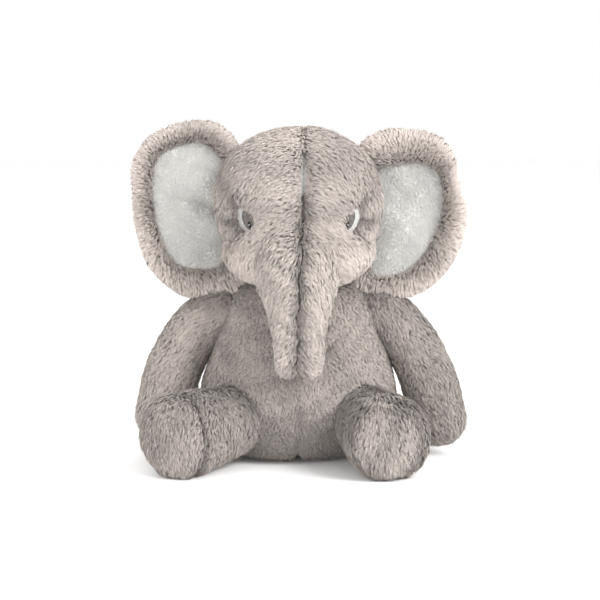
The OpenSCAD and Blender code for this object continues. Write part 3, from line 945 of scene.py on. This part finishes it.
def fringe(side, s, felt):
    """The pile that falls over the felt's upper and inner edge."""
    spot, across, up, out = eye_frame(s)

    def on_edge(p, n):
        outward, upward = (p - spot) @ across * s, (p - spot) @ up
        share = np.hypot(outward / (8 * MM), upward / (10.75 * MM))
        return (share > 0.95) & (upward - outward * 1.1 > 3 * MM) & (n @ out > 0)
    return fur(f"eye_{side}_fringe", felt, comb_limb(across * s * 0.8, 0.5), 2.4, per_mm2=1.6, strands=5,
               width=0.4, lie=1.2, keep=on_edge, seed=70 + s)


def fuzz(side, s, felt):
    """The felt's own fibres, on the ring that shows round the iris."""
    spot, across, up, out = eye_frame(s)

    def off_iris(p, n):
        outward, upward = (p - spot) @ across * s + 2.2 * MM, (p - spot) @ up + 0.8 * MM
        return (np.hypot(outward / (6.2 * MM), upward / (9.0 * MM)) > 1) & (n @ out > -0.3)
    return fur(f"eye_{side}_fuzz", felt, comb_limb(across * s, 0), 0.9, per_mm2=3, strands=3, width=0.22,
               lie=1.0, wander=3.0, materials=LINING_PILE, seed=80 + s, keep=off_iris)


def clear_of_eyes(p, n):
    """True where the head's pile grows: not over the middle of the eyes."""
    clear = np.ones(len(p), bool)
    for _, s in SIDES:
        spot, across, up, out = eye_frame(s)
        rel = p - (spot - up * 3.0 * MM + across * s * 1.0 * MM)
        inside = np.hypot((rel @ across) / (7.0 * MM), (rel @ up) / (9.0 * MM)) < 1
        clear &= ~(inside & (rel @ out > -12 * MM))
    return clear


def near_eyes(p):
    return np.clip(sum(bump(np.linalg.norm(p - eye_frame(s)[0], axis=1), 17 * MM) for _, s in SIDES), 0, 1)


def beside_eyes(p):
    """1 in the shaded hollow on the outer side of each eye."""
    spots = [eye_frame(s)[0] + mm(s * 10, 2, 4) for _, s in SIDES]
    return np.clip(sum(bump(np.linalg.norm(p - spot, axis=1), 9 * MM) for spot in spots), 0, 1)


def creases(p):
    """1 along the creases that run outwards from each eye, where the stuffed cover is drawn in."""
    total = np.zeros(len(p))
    for _, s in SIDES:
        spot, across, up, out = eye_frame(s)
        rel = p - spot
        rel = rel - np.clip(rel @ out, -15 * MM, 15 * MM)[:, None] * out
        for degrees, reach in ((80, 20 * MM), (12, 24 * MM), (-34, 21 * MM)):
            way = across * s * math.cos(math.radians(degrees)) + up * math.sin(math.radians(degrees))
            walked = np.clip(rel @ way, 11.5 * MM, reach)
            total += bump(np.linalg.norm(rel - walked[:, None] * way, axis=1), 4.2 * MM)
    return np.clip(total, 0, 1)


def brows(p):
    """1 on the stuffed swelling above and outside each eye."""
    spots = [eye_frame(s)[0] + mm(s * 5, 2, 19) for _, s in SIDES]
    return sum(bump(np.linalg.norm(p - spot, axis=1), 10 * MM) for spot in spots)


# ---------- build ----------


def dress(skin, pile, body, replaced):
    """Ties a padded skin and its pile to a body, in place of the frame's nodes."""
    for piece in [skin, *pile]:
        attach(piece, body)
    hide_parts(*replaced)


def torso_length(p, n):
    """In millimetres: shorter on the belly than on the back."""
    return 3.6 + 1.8 * smoothstep(0, 20 * MM, p[:, 1])


def torso_painted_shade(p, n):
    """In tones: painted shade over the torso, deeper on the front, most of all low on the front near the
    floor, and in the seam's groove.
    """
    front = smoothstep(15 * MM, -15 * MM, p[:, 1])
    return -0.6 - 0.5 * front - 3.4 * front * smoothstep(64 * MM, 12 * MM, p[:, 2]) - 1.8 * belly_seam(p)


def build_torso():
    skin = torso_skin()
    panels = {
        "belly_fur_left": lambda p: (p[:, 1] < 0) & (p[:, 0] >= 0),
        "belly_fur_right": lambda p: (p[:, 1] < 0) & (p[:, 0] < 0),
        "back_fur_left": lambda p: p[:, 0] >= 0,
        "back_fur_right": lambda p: p[:, 0] < 0,
    }
    pile = fur("torso_fur", skin, comb_torso, torso_length, width=0.46, spread=0.9, per_mm2=0.65, seed=1,
               keep=lambda p, n: n[:, 2] > -0.85, panels=panels, lightness=torso_painted_shade)
    dress(skin, pile, "torso", TORSO_NODES)


def head_length(p, n):
    """In millimetres: shorter round the eyes, in the creases and at the seam."""
    return 6.6 - 1.8 * near_eyes(p) - 1.8 * creases(p) - 1.4 * face_seam(p)


def head_painted_light(p, n):
    """In tones: painted light on the crown and the cheeks; painted shade on the front, beside the eyes, in
    the creases and in the seam.
    """
    front = smoothstep(head_mid[1] + 5 * MM, head_mid[1] - 25 * MM, p[:, 1])
    cheeks = smoothstep(205 * MM, 165 * MM, p[:, 2]) * front
    crown = smoothstep(head_high[2] - 28 * MM, head_high[2] - 4 * MM, p[:, 2])
    light = -0.3 - 0.5 * front + 1.6 * crown + 2.6 * cheeks
    dark = 2.4 * beside_eyes(p) + 4.0 * creases(p) + 3.6 * face_seam(p) * (1 - bare_brow(p))
    return light - dark


def build_head():
    skin = head_skin()
    panels = {
        "face_fur_left": lambda p: (p[:, 1] < head_mid[1]) & (p[:, 0] >= 0),
        "face_fur_right": lambda p: (p[:, 1] < head_mid[1]) & (p[:, 0] < 0),
        "crown_fur_left": lambda p: p[:, 0] >= 0,
        "crown_fur_right": lambda p: p[:, 0] < 0,
    }
    pile = fur("head_fur", skin, comb_head, head_length, seed=2, panels=panels, lightness=head_painted_light,
               keep=lambda p, n: clear_of_eyes(p, n) & off_seam(p, n))
    dress(skin, pile, "head", HEAD_NODES)
    for side, s in SIDES:
        eye(side, s)


def seam_painted_shade(p, n):
    """In tones: painted shade in the seam's groove and the stitched dimples."""
    return -4.2 * face_seam(p) - 2.5 * tip_dimples(p)


def build_trunk():
    """Two skins that overlap at the middle joint, with their transforms baked into their meshes."""
    upper, lower = trunk_upper_skin(), trunk_lower_skin()
    upper_pieces = [upper, *fur("trunk_upper_fur", upper, comb_trunk, PILE_LENGTH, seed=3,
                                lightness=seam_painted_shade, keep=off_seam)]
    lower_pieces = [lower, *fur("trunk_lower_fur", lower, comb_trunk, 5.6, seed=4,
                                lightness=seam_painted_shade, keep=off_seam)]
    for piece in upper_pieces:
        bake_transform(piece)
    for piece in lower_pieces:
        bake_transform(piece)
    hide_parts("trunk_upper_cover", "trunk_upper_stuffing")
    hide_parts("trunk_lower_cover", "trunk_lower_stuffing")


def build_ear(side, s):
    """The furred ear, with the napped lining laid in its front."""
    skin, lining = ear_skin(side, s), ear_lining(side, s)

    def off_lining(p, n):
        return ~((ear_spot(side, s, p)[0] < 0.99) & (n[:, 1] < 0.3))

    def rim_length(p, n):
        return 5.6 + 1.6 * bump(ear_spot(side, s, p)[1], 0.3)

    # painted light towards the rim's outer edge, painted shade along its inner edge by the lining
    def shade(p, n):
        to_rim = ear_spot(side, s, p)[1]
        return 2.0 * smoothstep(0.3, 0.9, to_rim) - 1.2 * bump(to_rim, 0.2) * (n[:, 1] < 0.3)
    pile = fur(f"ear_{side}_fur", skin, comb_ear(side, s), rim_length, seed=10 + s, keep=off_lining,
               lie=1.9, lightness=shade)
    nap = fur(f"ear_{side}_nap", lining, comb_limb(np.array([0.3 * s, 0, -0.6])), 1.9, per_mm2=1.3,
              strands=4, width=0.4, spread=0.7, lie=1.8, wander=0.8, materials=LINING_PILE, seed=20 + s,
              clump=0.3, keep=lambda p, n: n[:, 1] < 0)
    dress(skin, pile, f"ear_{side}", [f"ear_back_{side}", f"ear_rim_{side}", f"ear_padding_{side}"])
    for piece in [lining, *nap]:
        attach(piece, f"ear_{side}")
    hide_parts(f"ear_lining_{side}")


def build_arm(side, s):
    """The right arm is paler than the left, which lies in the shade of the body."""
    shoulder, _, end = arm_ends(side, s)
    base = -2.0 if side == "left" else -0.3
    skin = arm_skin(side, s)
    pile = fur(f"arm_{side}_fur", skin, comb_limb(unit(end - shoulder), 0.3), PILE_LENGTH, seed=30 + s,
               wander=0.4, lightness=lambda p, n: np.full(len(p), base))
    dress(skin, pile, f"arm_{side}", [f"arm_front_panel_{side}", f"arm_back_panel_{side}",
                                      f"arm_stuffing_{side}", f"shoulder_root_{side}"])


def build_leg(side, s):
    """The leg with its sole, whose seam shows as a line of painted shade in the pile."""
    _, foot, forward = leg_way(side)
    # painted shade over the whole leg, a little deeper on the left leg
    base = -1.6 if side == "right" else -2.0
    skin = leg_skin(side)

    def tuft(p, n):
        """1 on top of the left foot, where the pile stands up in a tuft."""
        return smoothstep(0.75, 0.95, n[:, 2]) * bump((p - foot) @ forward, 14 * MM) * (side == "left")

    def length(p, n):
        return PILE_LENGTH + 3 * tuft(p, n) - 2.4 * bump(sole_seam(side, p), 3 * MM)

    # painted shade in the sole's seam, painted light on the tuft on top of the left foot
    def shade(p, n):
        return base - 4.0 * bump(sole_seam(side, p), 3.8 * MM) + 2 * tuft(p, n)
    pile = fur(f"leg_{side}_fur", skin, comb_leg(side), length, seed=40 + s, lightness=shade)
    dress(skin, pile, f"leg_{side}", [f"leg_cover_{side}", f"sole_panel_{side}",
                                      f"leg_stuffing_{side}", f"hip_root_{side}"])


def build_tail():
    skin = tail_skin()
    reach = np.linalg.norm(tuft_mid - tail_root)
    way = (tuft_mid - tail_root) / reach

    def length(p, n):
        return 5 + 9 * smoothstep(0.6, 1.0, (p - tail_root) @ way / reach)
    pile = fur("tail_fur", skin, comb_limb(way, 0.2), length, seed=50, per_mm2=0.5)
    dress(skin, pile, "tail", ["tail_cover", "tail_tuft"])


def build_neck():
    skin = neck_skin()
    pile = fur("neck_fur", skin, comb_limb(-UP, 0), 5, seed=60)
    dress(skin, pile, "neck", ["neck_plug"])


def build_label():
    """A satin loop that stands out of the side seam."""
    low, high = boxes("care_label")
    middle = (low + high) / 2
    reach, height = high[1] - low[1] + 3 * MM, high[2] - low[2]
    half_thick = 0.4 * MM
    steps = 14
    rings = []
    for t in np.linspace(0, 1, steps + 1):
        bend = 1.5 * MM * math.sin(t * math.pi * 1.3)
        spot = np.array([middle[0] + bend, low[1] - 3 * MM + reach * t, middle[2]])
        rings.append(np.array([spot + ACROSS * half_thick * a + UP * height / 2 * b
                               for a, b in ((-1, -1), (1, -1), (1, 1), (-1, 1))]))
    piece = loft("care_label_cloth", rings, LABEL)
    piece.data.polygons.foreach_set("use_smooth", [False] * len(piece.data.polygons))
    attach(piece, "torso")
    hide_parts("care_label")


# Lamps as (name, place, size in metres, power in watts).
LAMPS = (
    ("key", (1.2, -1.0, 1.1), 0.9, 34),
    ("fill", (-0.8, -1.3, 0.45), 0.8, 8),
    ("rim", (-0.6, 1.3, 1.2), 1.0, 12),
)


def build_stage():
    """Plain pale floor in soft studio light: a white room, a key, a fill and a light from behind."""
    floor = new_object("floor", [(-4, -4, 0), (4, -4, 0), (4, 4, 0), (-4, 4, 0)], [(0, 1, 2, 3)],
                       shader("floor_paper", (0.97, 0.97, 0.97), 0.95)[0])
    world = bpy.data.worlds.new("studio")
    world.use_nodes = True
    world.node_tree.nodes["Background"].inputs["Color"].default_value = (1, 1, 1, 1)
    world.node_tree.nodes["Background"].inputs["Strength"].default_value = 1.0
    bpy.context.scene.world = world
    for name, place, size, power in LAMPS:
        light = bpy.data.lights.new(name, "AREA")
        light.size = size
        light.energy = power
        lamp = bpy.data.objects.new(name, light)
        bpy.context.scene.collection.objects.link(lamp)
        lamp.location = place
        aim(lamp, (0, 0, 0.13))


def aim(thing, target):
    way = Vector(target) - Vector(thing.location)
    thing.rotation_euler = way.to_track_quat("-Z", "Y").to_euler()


def build_camera():
    """In front and a little above, near enough to see a square of 0.48 m at the toy."""
    camera = bpy.data.cameras.new("camera")
    distance, seen = 1.6, 0.48
    camera.sensor_width = 36
    camera.lens = camera.sensor_width / 2 / (seen / 2 / distance)
    thing = bpy.data.objects.new("camera", camera)
    bpy.context.scene.collection.objects.link(thing)
    target = mm(1.2, -45, 133.6)
    elevation = math.radians(7.5)
    thing.location = target + distance * np.array([0, -math.cos(elevation), math.sin(elevation)])
    aim(thing, target)
    bpy.context.scene.camera = thing


build_torso()
build_head()
build_trunk()
for side, s in SIDES:
    build_ear(side, s)
    build_arm(side, s)
    build_leg(side, s)
build_tail()
build_neck()
build_label()
build_stage()
build_camera()
bpy.context.scene.view_settings.view_transform = "Standard"
